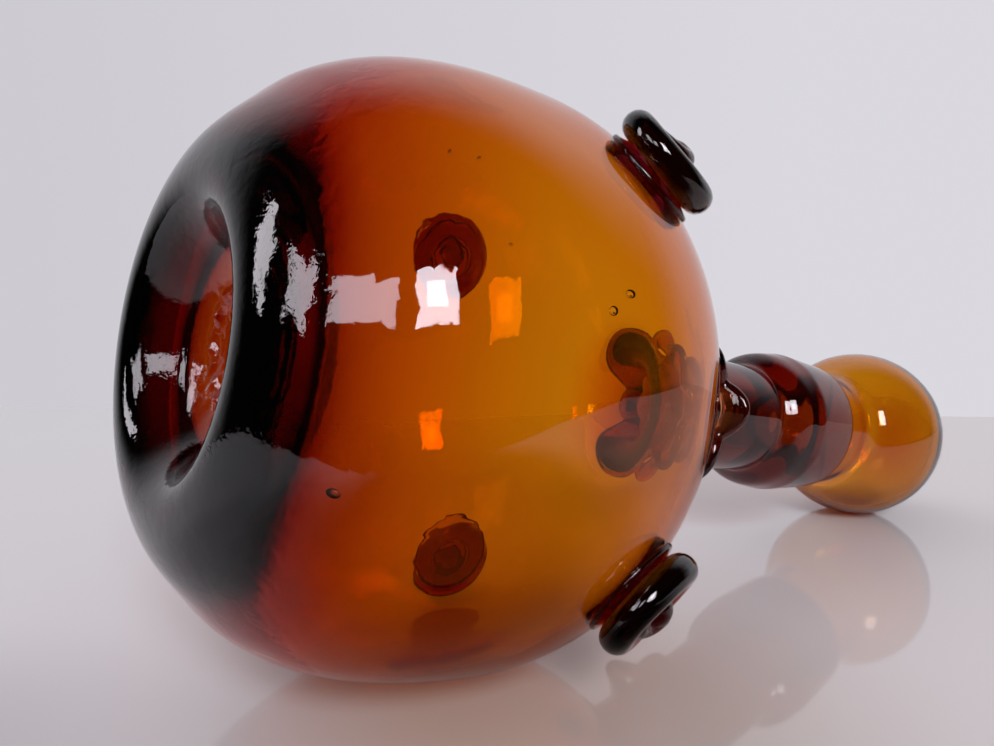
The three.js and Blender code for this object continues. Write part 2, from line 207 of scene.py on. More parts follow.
def blend(start, leave, end, arrive, steps, tension=0.5):
    """Points of a smooth curve that leaves one point and reaches another along given directions."""
    pull = (end - start).length * tension
    near = start + Vector(leave).normalized() * pull
    far = end - Vector(arrive).normalized() * pull
    points = []
    for i in range(steps + 1):
        t = i / steps
        s = 1 - t
        points.append(start * s**3 + near * 3 * s * s * t + far * 3 * s * t * t + end * t**3)
    return points


def round_arc(centre, radius, start, end, steps):
    """Points of an arc between two angles in degrees."""
    points = []
    for i in range(steps + 1):
        angle = math.radians(start + (end - start) * i / steps)
        points.append(centre + radius * Vector((math.cos(angle), math.sin(angle))))
    return points


def eased(points, still=lambda p: False):
    """The same points, each drawn towards its neighbours unless it is to keep still."""
    inner = [b if still(b) else a * 0.25 + b * 0.5 + c * 0.25
             for a, b, c in zip(points, points[1:], points[2:])]
    return [points[0], *inner, points[-1]]


def evened(points, spacing, rounds=0):
    """The same outline with points a spacing apart, by a function of the point. Corners are eased first."""
    fine = [points[0]]
    for a, b in zip(points, points[1:]):
        count = max(1, math.ceil((b - a).length / FINE_STEP))
        fine += [a.lerp(b, k / count) for k in range(1, count + 1)]
    for _ in range(rounds):
        fine = eased(fine)
    kept, gone = [fine[0]], 0.0
    for a, b in zip(fine, fine[1:]):
        gone += (b - a).length
        if gone >= spacing(b):
            kept.append(b)
            gone = 0.0
    if (kept[-1] - fine[-1]).length < SAME_POINT:
        kept.pop()
    return [*kept, fine[-1]]


UNDER_REACH = BELLY_HEIGHT / (1 - (FOOT_OUTER_RADIUS / BELLY_RADIUS) ** UNDER_POWER) ** (1 / UNDER_POWER)


def body_outline():
    """The body's outside, from the foot ring up to the root of the neck."""
    foot = super_angle(BELLY_RADIUS, UNDER_POWER, FOOT_OUTER_RADIUS)
    under = super_arc(0, BELLY_RADIUS, UNDER_REACH, UNDER_POWER, foot, 0, steps=90)
    under = [Vector((p.x, BELLY_HEIGHT - p.y)) for p in under]
    meet = super_angle(BELLY_RADIUS, 2, SHOULDER_BLEND_RADIUS)
    shoulder = super_arc(BELLY_HEIGHT, BELLY_RADIUS, SHOULDER_RISE, 2, 0, meet, steps=60)
    slope = (-BELLY_RADIUS * math.sin(meet), SHOULDER_RISE * math.cos(meet))
    root = Vector((NECK_RADIUS, NECK_ROOT_HEIGHT))
    return under + shoulder[1:] + blend(shoulder[-1], slope, root, (0, 1), BLEND_STEPS)[1:]


def seat_radius(height):
    """Radius of the tapered seat in the mouth."""
    return RIM_BORE_RADIUS - (RIM_HEIGHT - height) * math.tan(SEAT_TAPER)


def rounded_foot(points):
    """The same outline with the foot ring's edges melted into one round lip that still stands at height 0."""
    fine = evened(points, lambda p: FINE_STEP)
    for _ in range(FOOT_MELT_ROUNDS):
        fine = eased(fine, lambda p: p.y > FOOT_MELT_TOP or p.x < FOOT_MELT_INNER_RADIUS)
    lift = min(p.y for p in fine)
    return [Vector((p.x, p.y - lift * (1 - eased_step(*FOOT_LIFT_FADE, p.y)))) for p in fine]


def outside_outline():
    """The bottle from the crown of the punt over the foot, up the outside and over the rim."""
    crown = [Vector(point) for point in PUNT_CROWN]
    foot = Vector((FOOT_INNER_RADIUS, 0))
    punt = blend(crown[-1], (1, -0.35), foot, (0.55, -1), BLEND_STEPS)
    edge_centre = Vector((MOUTH_EDGE_RADIUS - MOUTH_EDGE_ROUND, MOUTH_EDGE_HEIGHT))
    edge = round_arc(edge_centre, MOUTH_EDGE_ROUND, -10, 4, steps=6)
    flare_start = Vector((NECK_RADIUS, FLARE_START_HEIGHT))
    flare = blend(flare_start, (0.8, 0.6), edge[0], (0.17, 0.98), BLEND_STEPS)
    rim_round = (RIM_RADIUS - RIM_BORE_RADIUS) / 2
    rim_centre = Vector((RIM_BORE_RADIUS + rim_round, RIM_HEIGHT - rim_round))
    rim = round_arc(rim_centre, rim_round, 4, 180, steps=16)
    return rounded_foot(crown + punt[1:] + body_outline()) + flare + edge[1:] + rim


def inside_outline():
    """The bottle's inside, from the top of the seat down to the top of the punt."""
    seat_floor = RIM_HEIGHT - SEAT_DEPTH
    seat_end = Vector((seat_radius(seat_floor), seat_floor))
    bore_top = Vector((NECK_BORE_RADIUS, FLARE_START_HEIGHT))
    funnel = blend(seat_end, (-math.tan(SEAT_TAPER), -1), bore_top, (0, -1), BLEND_STEPS)
    radius = BELLY_RADIUS - BELLY_WALL
    rise = SHOULDER_RISE - SHOULDER_WALL
    meet = super_angle(radius, 2, SHOULDER_BLEND_RADIUS)
    shoulder = super_arc(BELLY_HEIGHT, radius, rise, 2, meet, 0, steps=60)
    bore_root = Vector((NECK_BORE_RADIUS, NECK_ROOT_HEIGHT))
    slope = (radius * math.sin(meet), -rise * math.cos(meet))
    neck = blend(bore_root, (0, -1), shoulder[0], slope, BLEND_STEPS)
    floor_end = super_angle(radius, INSIDE_POWER, FOOT_OUTER_RADIUS + FLOOR_THICKNESS / 2)
    under = super_arc(0, radius, BELLY_HEIGHT - FLOOR_THICKNESS, INSIDE_POWER, 0, floor_end, steps=80)
    under = [Vector((p.x, BELLY_HEIGHT - p.y)) for p in under]
    top_of_punt = Vector((0, PUNT_DEPTH + PUNT_THICKNESS))
    crown = blend(under[-1], (-1, -0.1), top_of_punt, (-1, 0), steps=30, tension=0.42)
    return funnel + neck + shoulder[1:] + under[1:] + crown[1:]


def peg_radius(height):
    """Radius of the peg, which keeps its clearance to the seat all the way."""
    return seat_radius(height) - SEAT_CLEARANCE / math.cos(SEAT_TAPER)


def stopper_outline():
    """From the ball's pole down the outside to the peg's open end, and back up the inside."""
    centre = Vector((0, RIM_HEIGHT + BALL_LIFT))
    taper = math.degrees(SEAT_TAPER)
    top = RIM_HEIGHT + PEG_LIFT
    throat = Vector((peg_radius(top) + THROAT_ROUND * math.cos(SEAT_TAPER), 0))
    throat.y = centre.y - math.sqrt((BALL_RADIUS + THROAT_ROUND) ** 2 - throat.x**2)
    meet = math.degrees(math.atan2(centre.y - throat.y, -throat.x))
    ball = round_arc(centre, BALL_RADIUS, 90, meet - 180, steps=80)
    neck = round_arc(throat, THROAT_ROUND, meet, 180 - taper, steps=14)
    end = RIM_HEIGHT - SEAT_DEPTH + SEAT_END_GAP
    end_centre = Vector((peg_radius(end + PEG_END_ROUND) - PEG_END_ROUND / math.cos(SEAT_TAPER),
                         end + PEG_END_ROUND))
    end_round = round_arc(end_centre, PEG_END_ROUND, -taper, -180 - taper, steps=10)
    inside_ball = BALL_RADIUS - BALL_WALL
    inside_throat = neck[-1].x - PEG_WALL
    mouth = math.degrees(math.asin(inside_throat / inside_ball))
    inside = round_arc(centre, inside_ball, -90 + mouth + INNER_THROAT_ANGLE, 90, steps=60)
    turn = (centre.y - inside[0].y, inside[0].x)
    for p in inside:
        from_pole = math.atan2(p.x, p.y - centre.y)
        dip = (BALL_TOP_WALL - BALL_WALL) * math.exp(-((from_pole / BALL_TOP_SPREAD) ** 2))
        p.xy = centre + (p - centre) * (1 - dip / inside_ball)
    flare = blend(Vector((inside_throat, neck[-1].y)), (0, 1), inside[0], turn, steps=12)
    return ball + neck[1:] + end_round + flare + inside[1:]


# Meshes.
def revolved(outline, steps):
    """A closed body from an outline that begins and ends on the axis."""
    bm = bmesh.new()
    verts = [bm.verts.new((p.x * MM, 0, p.y * MM)) for p in outline]
    edges = [bm.edges.new(pair) for pair in zip(verts, verts[1:])]
    bmesh.ops.spin(bm, geom=verts + edges, cent=(0, 0, 0), axis=(0, 0, 1), angle=math.tau,
                   steps=steps, use_merge=True)
    poles = [vert for vert in bm.verts if math.hypot(vert.co.x, vert.co.y) < 1e-6]
    bmesh.ops.remove_doubles(bm, verts=poles, dist=1e-6)
    bmesh.ops.recalc_face_normals(bm, faces=bm.faces)
    return bm


def joined(bm, other):
    """Adds the other mesh's shells to this one."""
    mesh = bpy.data.meshes.new("shells")
    other.to_mesh(mesh)
    other.free()
    bm.from_mesh(mesh)
    bpy.data.meshes.remove(mesh)


def finished(bm, name, material, body, slot, *nodes):
    """Makes the mesh a smooth piece that stands for its nodes and rides on a body."""
    mesh = bpy.data.meshes.new(name)
    bm.to_mesh(mesh)
    bm.free()
    piece = bpy.data.objects.new(name, mesh)
    bpy.context.scene.collection.objects.link(piece)
    for face in mesh.polygons:
        face.use_smooth = True
    mesh.materials.append(material)
    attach(piece, body)
    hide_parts(*nodes)


def melted(bm, voxel, rounds):
    """One closed skin round everything in the mesh, eased like glass that was hot when it was joined."""
    mesh = bpy.data.meshes.new("hot")
    bm.to_mesh(mesh)
    bm.free()
    hot = bpy.data.objects.new("hot", mesh)
    bpy.context.scene.collection.objects.link(hot)
    skin = hot.modifiers.new("skin", "REMESH")
    skin.mode = "VOXEL"
    skin.voxel_size = voxel * MM
    ease = hot.modifiers.new("ease", "SMOOTH")
    ease.factor = 0.5
    ease.iterations = rounds
    done = hot.evaluated_get(bpy.context.evaluated_depsgraph_get())
    result = bmesh.new()
    result.from_mesh(done.data)
    bpy.data.objects.remove(hot)
    bpy.data.meshes.remove(mesh)
    return result


def trail(bm, path, radius, closed=False):
    """A rod of hot glass along a path, with a radius that changes from its start, 0, to its end, 1."""
    line = bpy.data.curves.new("trail", "CURVE")
    line.dimensions = "3D"
    line.bevel_depth = MM
    line.bevel_resolution = 6
    line.use_fill_caps = True
    spline = line.splines.new("POLY")
    spline.points.add(len(path) - 1)
    spline.use_cyclic_u = closed
    for i, (bead, point) in enumerate(zip(spline.points, path)):
        bead.co = (*(point * MM), 1)
        bead.radius = radius(i / (len(path) - 1))
    rod = bpy.data.objects.new("trail", line)
    bpy.context.scene.collection.objects.link(rod)
    mesh = bpy.data.meshes.new_from_object(rod.evaluated_get(bpy.context.evaluated_depsgraph_get()))
    bm.from_mesh(mesh)
    bpy.data.objects.remove(rod)
    bpy.data.curves.remove(line)
    bpy.data.meshes.remove(mesh)


def drop(bm, centre, radius):
    """A round drop of hot glass."""
    place = Matrix.Translation(Vector(centre) * MM)
    bmesh.ops.create_icosphere(bm, subdivisions=4, radius=radius * MM, matrix=place)


def wave(point, length, seed):
    """Smooth noise between -1 and 1 with features about a length across."""
    return noise.noise(point / length + Vector((seed, 1.7 * seed, -seed)))


def unevenness(point, waves):
    """How far the surface stands out at a point, from waves of a depth, length and seed."""
    return sum(depth * wave(point, length, seed) for depth, length, seed in waves)


def body_radius(height):
    """Radius of the body's outside at a height."""
    if height >= BELLY_HEIGHT:
        share = min((height - BELLY_HEIGHT) / SHOULDER_RISE, 0.999)
        return BELLY_RADIUS * math.sqrt(1 - share * share)
    share = (BELLY_HEIGHT - height) / UNDER_REACH
    return BELLY_RADIUS * (1 - share**UNDER_POWER) ** (1 / UNDER_POWER)


def bubble(bm, azimuth, height, depth, long, wide, thick, turn):
    """A seed in the wall: a flat closed hollow, so its faces point into it."""
    angle = math.radians(azimuth)
    out = Vector((math.cos(angle), math.sin(angle), 0))
    here = body_radius(height)
    rise = Vector(((body_radius(height + 0.5) - body_radius(height - 0.5)), 0, 1)).normalized()
    along = Vector((out.x * rise.x, out.y * rise.x, rise.z))
    across = Vector((-out.y, out.x, 0))
    normal = across.cross(along)
    centre = (out * here + Vector((0, 0, height)) - normal * depth) * MM
    place = Matrix((across, along, normal)).transposed().to_4x4()
    size = Matrix.Diagonal((wide / 2, long / 2, thick / 2, 1))
    made = bmesh.ops.create_uvsphere(
        bm, u_segments=20, v_segments=12, radius=MM,
        matrix=Matrix.Translation(centre) @ place @ Matrix.Rotation(math.radians(turn), 4, "Z") @ size)
    bmesh.ops.reverse_faces(bm, faces=list({face for vert in made["verts"] for face in vert.link_faces}))


# Nodes.
def node(tree, kind, settings=None, **inputs):
    """A shader node with its settings. Each input, by name or as _ and its number, is set or linked."""
    made = tree.nodes.new(kind)
    for name, value in (settings or {}).items():
        setattr(made, name, value)
    for name, value in inputs.items():
        socket = made.inputs[int(name[1:])] if name[0] == "_" else made.inputs[name.replace("_", " ")]
        if isinstance(value, bpy.types.NodeSocket):
            tree.links.new(value, socket)
        else:
            socket.default_value = value
    return made


def math_node(tree, operation, *values, clamp=False):
    """One step of arithmetic on numbers."""
    inputs = {f"_{i}": value for i, value in enumerate(values)}
    settings = {"operation": operation, "use_clamp": clamp}
    return node(tree, "ShaderNodeMath", settings, **inputs).outputs[0]


def vector_node(tree, operation, *values):
    """One step of arithmetic on points, which gives a point or, for a length or a like measure, a number."""
    inputs = {f"_{i}": value for i, value in enumerate(values)}
    made = node(tree, "ShaderNodeVectorMath", {"operation": operation}, **inputs)
    measures = ("LENGTH", "DISTANCE", "DOT_PRODUCT")
    return made.outputs["Value" if operation in measures else "Vector"]


def scaled(tree, value, low, high, start=0.0, end=1.0, smooth=False):
    """A value between low and high, moved to the range from start to end and held in it."""
    settings = {"interpolation_type": "SMOOTHSTEP" if smooth else "LINEAR"}
    return node(tree, "ShaderNodeMapRange", settings, Value=value, From_Min=low, From_Max=high,
                To_Min=start, To_Max=end).outputs["Result"]


def cloud(tree, point, scale, detail=2.0, distortion=0.0):
    """Noise round 0.5, with so many features to a metre."""
    return node(tree, "ShaderNodeTexNoise", Vector=point, Scale=scale, Detail=detail,
                Distortion=distortion).outputs["Fac"]


def colour_mix(tree, share, first, second):
    """The first colour where the share is 0 and the second where it is 1."""
    return node(tree, "ShaderNodeMix", {"data_type": "RGBA"}, Factor=share, _6=first, _7=second).outputs[2]


def from_axis(tree, point):
    """Distance of a point from the decanter's axis."""
    return vector_node(tree, "LENGTH", vector_node(tree, "MULTIPLY", point, (1, 1, 0)))


def new_group(name, inputs, output, kind):
    """An empty node group with a point and numbers going in and one value of a kind coming out."""
    tree = bpy.data.node_groups.new(name, "ShaderNodeTree")
    tree.interface.new_socket("Point", in_out="INPUT", socket_type="NodeSocketVector")
    for label in inputs:
        tree.interface.new_socket(label, in_out="INPUT", socket_type="NodeSocketFloat")
    tree.interface.new_socket(output, in_out="OUTPUT", socket_type=kind)
    return tree


def new_material(name):
    material = bpy.data.materials.new(name)
    material.use_nodes = True
    material.node_tree.nodes.clear()
    return material, material.node_tree


# Glass. The hollow under the foot is inside a radius and below a height.
HOLLOW_RADIUS = 0.019
HOLLOW_TOP = 0.0155
HOLLOW_MARKS = 2.2
HOLLOW_TINT = (0.36, 0.2, 0.38, 1)
NECK_TINT = (0.35, 0.27, 0.33, 1)
NECK_TINT_RISE = (0.128, 0.15)

# Colour of the bottle by height above the foot, where the full scale is STAIN_SCALE tall, in millimetres.
STAIN_SCALE = 40
STAIN_START = -0.001
STAIN_STOPS = (
    (4.6, (0.002, 0.001, 0.001)),
    (7.0, (0.12, 0.05, 0.05)),
    (9.0, (0.36, 0.22, 0.4)),
    (13.0, (0.64, 0.5, 0.9)),
    (18.0, (0.92, 0.95, 1.0)),
    (25.0, (1.0, 1.0, 1.0)),
)
STAIN_RAGGED = 0.0022
# The stain reaches a little further up on the side that lies lowest in the main view.
STAIN_SIDE_REACH = ABOVE * 0.065


def blown_group():
    """Marks of hand-blown glass: a slow ripple, tool marks under the belly, and chill marks by the foot."""
    tree = new_group("blown_glass", ("Chill Top", "Tool Top"), "Height", "NodeSocketFloat")
    given = node(tree, "NodeGroupInput").outputs
    point = given["Point"]
    height = node(tree, "ShaderNodeSeparateXYZ", Vector=point).outputs["Z"]
    blotch = cloud(tree, point, 60.0)

    def below(top, fade):
        """1 under an uneven height and 0 over it."""
        low = math_node(tree, "DIVIDE", math_node(tree, "SUBTRACT", top, height), fade)
        return scaled(tree, math_node(tree, "ADD", low, blotch), 0.4, 1.0, smooth=True)

    def marks(scale, distortion, depth):
        """Waves with so many to a metre."""
        uneven = cloud(tree, point, scale, detail=1.0, distortion=distortion)
        return math_node(tree, "MULTIPLY", uneven, depth)

    inside = scaled(tree, from_axis(tree, point), HOLLOW_RADIUS, 0.026, 1.0, 0.0, smooth=True)
    inside = math_node(tree, "MULTIPLY", inside, math_node(tree, "LESS_THAN", height, HOLLOW_TOP))
    chilled = math_node(tree, "MULTIPLY_ADD", inside, HOLLOW_MARKS, below(given["Chill Top"], 0.01))
    tooled = below(given["Tool Top"], 0.03)
    small = math_node(tree, "MULTIPLY", marks(scale=1100.0, distortion=0.6, depth=0.16), chilled)
    middle = math_node(tree, "MULTIPLY", marks(scale=260.0, distortion=0.5, depth=0.55), tooled)
    slow = marks(scale=60.0, distortion=0.0, depth=0.6)
    depth = math_node(tree, "ADD", math_node(tree, "ADD", small, middle), slow)
    tree.links.new(depth, node(tree, "NodeGroupOutput").inputs["Height"])
    return tree


def stained_group():
    """Colour of the bottle's glass by height: nearly black at the foot, clear at the belly, and deep in the
    neck.
    The hollow under the foot is brown."""
    tree = new_group("stained_glass", (), "Colour", "NodeSocketColor")
    point = node(tree, "NodeGroupInput").outputs["Point"]
    height = node(tree, "ShaderNodeSeparateXYZ", Vector=point).outputs["Z"]
    ragged = scaled(tree, cloud(tree, point, 55.0), 0.2, 0.8, -STAIN_RAGGED, STAIN_RAGGED)
    low = math_node(tree, "ADD", height, vector_node(tree, "DOT_PRODUCT", point, STAIN_SIDE_REACH))
    low = math_node(tree, "ADD", low, ragged)
    low = scaled(tree, low, STAIN_START, STAIN_START + STAIN_SCALE * MM)
    ramp = node(tree, "ShaderNodeValToRGB", Fac=low)
    stops = ramp.color_ramp.elements
    stops.remove(stops[-1])
    for i, (place, colour) in enumerate(STAIN_STOPS):
        stop = stops.new(place / STAIN_SCALE) if i else stops[0]
        stop.position = place / STAIN_SCALE
        stop.color = (*colour, 1)
    beside = scaled(tree, from_axis(tree, point), HOLLOW_RADIUS, 0.027, smooth=True)
    over = math_node(tree, "GREATER_THAN", height, HOLLOW_TOP)
    share = math_node(tree, "MAXIMUM", beside, over)
    tint = colour_mix(tree, share, HOLLOW_TINT, ramp.outputs["Color"])
    neck = scaled(tree, height, *NECK_TINT_RISE, smooth=True)
    tint = colour_mix(tree, neck, tint, NECK_TINT)
    tree.links.new(tint, node(tree, "NodeGroupOutput").inputs["Colour"])
    return tree


BLOWN = blown_group()
STAINED = stained_group()
NO_MARKS = -1.0


def glass(name, absorb, shade, bump, chill_top=NO_MARKS, tool_top=NO_MARKS, stained=False):
    """Glass that takes up light by the distance through it. absorb is per millimetre in red, green and
    blue, and shade is the light that one surface lets through into a shadow."""
    material, tree = new_material(name)
    point = node(tree, "ShaderNodeTexCoord").outputs["Object"]
    marks = node(tree, "ShaderNodeGroup", {"node_tree": BLOWN}, Point=point, Chill_Top=chill_top,
                 Tool_Top=tool_top).outputs["Height"]
    ripple = node(tree, "ShaderNodeBump", Strength=1.0, Distance=bump, Height=marks).outputs[0]
    body = node(tree, "ShaderNodeBsdfPrincipled", Base_Color=(1, 1, 1, 1), Roughness=0.0, IOR=1.5,
                Normal=ripple, Transmission_Weight=1.0)
    if stained:
        tint = node(tree, "ShaderNodeGroup", {"node_tree": STAINED}, Point=point).outputs["Colour"]
        tree.links.new(tint, body.inputs["Base Color"])
    through = node(tree, "ShaderNodeBsdfTransparent", Color=(*shade, 1)).outputs[0]
    ray = node(tree, "ShaderNodeLightPath").outputs["Is Shadow Ray"]
    mixed = node(tree, "ShaderNodeMixShader", Fac=ray, _1=body.outputs[0], _2=through).outputs[0]
    density = max(absorb) / MM
    colour = [1 - a / MM / density for a in absorb]
    volume = node(tree, "ShaderNodeVolumeAbsorption", Color=(*colour, 1), Density=density).outputs[0]
    out = node(tree, "ShaderNodeOutputMaterial")
    tree.links.new(mixed, out.inputs["Surface"])
    tree.links.new(volume, out.inputs["Volume"])
    return material


AMBER = glass("amber_glass", absorb=(0.042, 0.207, 0.9), shade=(0.88, 0.52, 0.3), bump=0.0001,
              chill_top=0.011, tool_top=0.034, stained=True)
PALE = glass("pale_amber_glass", absorb=(0.07, 0.24, 0.9), shade=(0.85, 0.72, 0.5), bump=0.00004)
DARK = glass("dark_amber_glass", absorb=(0.21, 0.6, 0.52), shade=(0.5, 0.4, 0.4), bump=0.00004)
PAD = glass("dark_amber_pad_glass", absorb=(0.13, 0.4, 0.8), shade=(0.6, 0.5, 0.4), bump=0.00008)
TRAIL = glass("dark_amber_trail_glass", absorb=(0.18, 0.45, 0.7), shade=(0.6, 0.5, 0.4), bump=0.00006)


# Bottle.
def outside_spacing(p):
    """Points lie further apart on the plain sweep of the body than at the foot, neck and mouth."""
    return 1.5 if p.y < NECK_ROOT_HEIGHT and p.x > SWEEP_RADIUS else 0.8


def inside_spacing(p):
    """Points lie closer together in the bore and the seat than in the body's room."""
    return 1.8 if p.y < SWEEP_TOP else 1.0


def make_bottle():
    outline = outside_outline()
    outside = evened(outline, outside_spacing, rounds=10)
    inside = evened([outline[-1], *inside_outline()], inside_spacing, rounds=10)
    bm = revolved(outside + inside[1:], BOTTLE_STEPS)
    for vert in bm.verts:
        p = vert.co / MM
        r = math.hypot(p.x, p.y)
        out = Vector((p.x, p.y, 0)).normalized() if r > SAME_POINT else Vector((0, 0, 0))
        body = eased_step(*HEAVE_START, p.z) * (1 - eased_step(*HEAVE_END, p.z))
        vert.co += out * unevenness(p, BODY_HEAVE) * body * MM
        if r < SCAR_EDGE_RADIUS and p.z < SCAR_TOP:
            scar = math.exp(-(((r - SCAR_RADIUS) / SCAR_WIDTH) ** 2))
            vert.co.z += unevenness(p, SCAR_ROUGHNESS) * scar * MM
    seeds = bmesh.new()
    for seed in SEEDS:
        bubble(seeds, *seed)
    joined(bm, seeds)
    finished(bm, "blown_bottle", AMBER, "vessel", "amber_glass", "bottle")


# Stopper.
def make_stopper():
    bm = revolved(evened(stopper_outline(), lambda p: 0.9, rounds=2), STOPPER_STEPS)
    for vert in bm.verts:
        p = vert.co / MM
        up = eased_step(*BALL_HEAVE_START, p.z)
        out = (p - Vector((0, 0, RIM_HEIGHT + BALL_LIFT))).normalized()
        vert.co += out * unevenness(p, BALL_HEAVE) * up * MM
    finished(bm, "ball_stopper", PALE, "stopper", "pale_amber_glass", "stopper")


# Collar.
def collar_trail(bm, reach, root, tip):
    """One trail round the root of the neck, pinched into lobes that lean up and down in turn."""
    path, pinch = [], []
    for i in range(COLLAR_STEPS):
        angle = math.tau * i / COLLAR_STEPS
        swing = math.cos(COLLAR_WAVES * (angle - COLLAR_TURN) + 0.25 * math.sin(2 * angle + 1))
        lobe = reach * abs(swing) ** COLLAR_PINCH
        uneven = COLLAR_UNEVEN * wave(Vector((math.cos(angle), math.sin(angle), 0)) * 20, 12, 6)
        r = COLLAR_ROOT_RADIUS + COLLAR_LOBE * lobe + uneven
        z = COLLAR_HEIGHT + COLLAR_LEAN * reach * math.copysign(abs(swing) ** 1.1, swing)
        path.append(Vector((r * math.cos(angle), r * math.sin(angle), z)))
        pinch.append(root + (tip - root) * abs(swing) ** 2)
    last = COLLAR_STEPS - 1
    trail(bm, path, lambda t: pinch[round(t * last)] + 0.1 * math.sin(6 * math.pi * t), closed=True)


def make_collar():
    bm = bmesh.new()
    for sizes in COLLAR_TRAILS:
        collar_trail(bm, **sizes)
    collar = melted(bm, voxel=0.34, rounds=14)
    finished(collar, "ruffled_collar", TRAIL, "vessel", "dark_amber_glass", "collar")


# Prunts.
def shoulder_place(prunt):
    """Matrix from a prunt's own place, with +Z out of the glass, to the part's frame, in millimetres."""
    radius = BELLY_RADIUS * math.sqrt(1 - (prunt["rise"] / SHOULDER_RISE) ** 2)
    slope = math.atan2(prunt["rise"] / SHOULDER_RISE**2, radius / BELLY_RADIUS**2)
    return (Matrix.Rotation(math.radians(prunt["azimuth"]), 4, "Z")
            @ Matrix.Translation((radius, 0, BELLY_HEIGHT + prunt["rise"]))
            @ Matrix.Rotation(math.pi / 2 - slope, 4, "Y"))


def glass_level(place, x, y):
    """Height of the shoulder's glass in a prunt's own place, where the shoulder is part of an ellipsoid."""
    size = Vector((1 / BELLY_RADIUS, 1 / BELLY_RADIUS, 1 / SHOULDER_RISE))
    start = (place @ Vector((x, y, 0)) - Vector((0, 0, BELLY_HEIGHT))) * size
    way = (place.to_3x3() @ Vector((0, 0, 1))) * size
    a, b, c = way.dot(way), start.dot(way), start.dot(start) - 1
    return (-b + math.sqrt(max(b * b - a * c, 0))) / a


def make_pad(number, place, waist):
    """The flared pad: rings that rise from its edge to the waist, bent to the shoulder's glass."""
    first = PAD_RADIUS - 0.25
    rings = []
    for i in range(PAD_RINGS + 1):
        r = first - (first - waist) * i / PAD_RINGS
        share = (PAD_RADIUS - r) / (PAD_RADIUS - waist)
        ridge = 0.05 * math.sin(i * 0.95) * (1 - share)
        rings.append(Vector((r, PAD_EDGE_HEIGHT + PAD_RISE * share**1.3 + ridge)))
    top = WAIST_HEIGHT + 0.2
    outline = [Vector((0, -PAD_SINK)), Vector((PAD_RADIUS - PAD_EDGE_ROUND, -PAD_SINK)),
               Vector((PAD_RADIUS, 0.1)), *rings, Vector((waist - 0.2, top)), Vector((0, top))]
    pad = revolved(evened(outline, lambda p: 0.35, rounds=1), PAD_STEPS)
    for vert in pad.verts:
        p = vert.co / MM
        edge = eased_step(6, PAD_RADIUS, math.hypot(p.x, p.y))
        around = Vector((p.x, p.y, 9 * number)).normalized() * 9
        stretch = 1 + 0.014 * wave(around, 7, number) * edge
        p = Vector((p.x * stretch, p.y * stretch, p.z))
        p.z += glass_level(place, p.x, p.y)
        vert.co = place @ p * MM
    bmesh.ops.recalc_face_normals(pad, faces=pad.faces)
    finished(pad, f"prunt_{number}_flared_pad", PAD, "vessel", "dark_amber_glass", f"prunt_{number}_pad")


def make_coil(number, place, waist, radius):
    """The coil: a fat ring whose tail winds in and up to a button, on a web that fills its middle."""
    hot = bmesh.new()
    around = []
    for i in range(COIL_STEPS):
        angle = math.tau * i / COIL_STEPS - math.pi / 2
        around.append(Vector((radius * math.cos(angle), radius * math.sin(angle), COIL_HEIGHT)))
    half = COIL_THICKNESS / 2
    trail(hot, around, lambda t: half * (1 + 0.03 * math.sin(math.tau * 2 * t + number)), closed=True)
    inward = []
    for i in range(TAIL_STEPS + 1):
        t = i / TAIL_STEPS
        angle = -math.pi / 2 + TAIL_TURN * t
        r = radius * (1 - eased_step(0, 1, t)) + 0.8 * t
        z = COIL_HEIGHT + 0.6 + TAIL_CLIMB * eased_step(0.1, 0.8, t)
        inward.append(Vector((r * math.cos(angle), r * math.sin(angle), z)))
    trail(hot, inward, lambda t: TAIL_RADIUS + 0.5 * t)
    drop(hot, (0, 0, BUTTON_TOP - BUTTON_RADIUS), BUTTON_RADIUS)
    low = WAIST_HEIGHT + 0.1
    web = [Vector((0, low)), Vector((waist + 0.5, low)), Vector((radius, COIL_HEIGHT)),
           Vector((radius * 0.6, COIL_HEIGHT + 1.7)), Vector((0, COIL_HEIGHT + 2.2))]
    joined(hot, revolved(evened(web, lambda p: 0.5), WEB_STEPS))
    coil = melted(hot, voxel=0.3, rounds=8)
    for vert in coil.verts:
        p = vert.co / MM
        p = Vector((p.x * COIL_STRETCH, p.y / COIL_STRETCH, p.z))
        p += p.normalized() * 0.12 * wave(p, 7, 10 + number)
        vert.co = place @ p * MM
    finished(coil, f"prunt_{number}_trailed_coil", DARK, "vessel", "dark_amber_glass", f"prunt_{number}_coil")


def make_prunt(number, prunt):
    place = shoulder_place(prunt)
    waist = (prunt["coil"] - COIL_THICKNESS / 2) / COIL_STRETCH
    make_pad(number, place, waist)
    make_coil(number, place, waist, prunt["coil"])


# Stage: two pale floors. The decanter stands on one, and lies on the other in the main view.
LYING_COLOUR = (0.7, 0.69, 0.7)
# Painted warm light: the colour that the lying floor turns to towards one side.
LYING_PAINTED_WARM_LIGHT = (0.69, 0.65, 0.64, 1)
STANDING_COLOUR = (0.93, 0.92, 0.93)
STANDING_HALF = 1.6

# Ends of the lying floor by places across and away: near the camera, and far off at its horizon.
LYING_HALF = 0.8
NEAR_LEFT = -0.1
NEAR_RIGHT = 0.03
HORIZON_LEFT = (-0.2976, 0.5225)
HORIZON_RIGHT = (0.2727, 0.4777)
